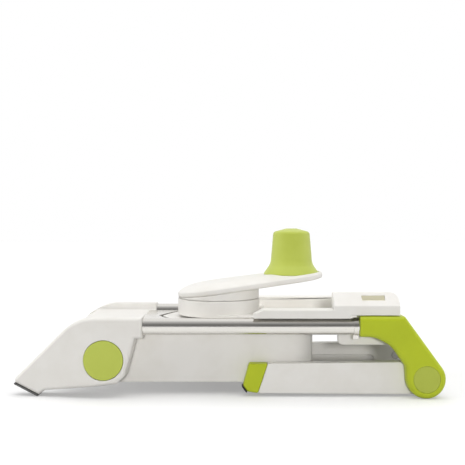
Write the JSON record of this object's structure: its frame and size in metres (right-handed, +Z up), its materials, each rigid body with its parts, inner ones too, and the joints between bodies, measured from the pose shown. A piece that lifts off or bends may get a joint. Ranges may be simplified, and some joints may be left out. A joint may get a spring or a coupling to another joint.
{
  "type": "mandoline slicer",
  "caption": "Folding mandoline slicer with steel tube rails, V blade, thickness dial, fold-out legs, U handle and a sliding food guider with a knobbed pusher.",
  "frame": {"origin": "middle of the bottom of the box, on the surface it stands on when folded", "axes": "+X along the rails to the handle, +Y to the right side, +Z up"},
  "size_m": [0.389, 0.142, 0.1516],
  "materials": {
    "white_plastic": "satin moulded",
    "green_plastic": "satin moulded",
    "steel": "satin",
    "dark_rubber": "matte",
    "grey_plastic": "moulded"
  },
  "bodies": {
    "frame": {"front_cheek_left": "white_plastic", "front_cheek_right": "white_plastic", "toe_sole_left": "dark_rubber", "toe_sole_right": "dark_rubber", "rail_left": "steel", "rail_right": "steel", "rail_ring_left": "steel", "rail_ring_right": "steel", "body_shell": "white_plastic", "landing_plate": "white_plastic", "blade_holder": "grey_plastic", "v_blade": "steel", "blade_screws": "steel", "handle_frame": "green_plastic", "rear_crossbeam": "white_plastic", "runway_pin": "steel", "pivot_pin_left": "steel", "pivot_pin_right": "steel", "pivot_cap_left": "green_plastic", "pivot_cap_right": "green_plastic"},
    "leg_frame": {"leg_arm_left": "white_plastic", "leg_arm_right": "white_plastic", "leg_foot_left": "green_plastic", "leg_foot_right": "green_plastic", "foot_sole_left": "dark_rubber", "foot_sole_right": "dark_rubber", "leg_crossbar": "white_plastic"},
    "thickness_dial": {"dial_left": "green_plastic", "dial_right": "green_plastic", "dial_cam_left": "grey_plastic", "dial_cam_right": "grey_plastic", "dial_shaft": "steel"},
    "runway": {"runway_plate": "white_plastic"},
    "carriage": {"carriage_frame": "white_plastic", "runner_pad_left": "grey_plastic", "runner_pad_right": "grey_plastic"},
    "pusher": {"pusher_plunger": "white_plastic", "pusher_plate": "white_plastic", "pusher_knob": "green_plastic", "knob_screw": "steel", "pusher_prongs": "steel"}
  },
  "joints": [
    {"name": "leg_fold", "type": "hinge", "parent": "frame", "child": "leg_frame", "pos_m": [0.177, 0, 0.0175], "axis": [0, -1, 0], "range_deg": [0, 83]},
    {"name": "dial_turn", "type": "hinge", "parent": "frame", "child": "thickness_dial", "pos_m": [-0.1105, 0, 0.0343], "axis": [0, -1, 0], "range_deg": [0, 180]},
    {"name": "runway_tilt", "type": "hinge", "parent": "frame", "child": "runway", "pos_m": [0.128, 0, 0.06], "axis": [0, -1, 0], "range_deg": [0, 1.83]},
    {"name": "carriage_slide", "type": "slide", "parent": "frame", "child": "carriage", "axis": [1, 0, 0], "range_m": [-0.097, 0]},
    {"name": "pusher_lift", "type": "slide", "parent": "carriage", "child": "pusher", "axis": [0, 0, 1], "range_m": [0, 0.04]}
  ],
  "couplings": [
    {"joint": "runway_tilt", "follows": "dial_turn", "ratio": 0.01015}
  ]
}
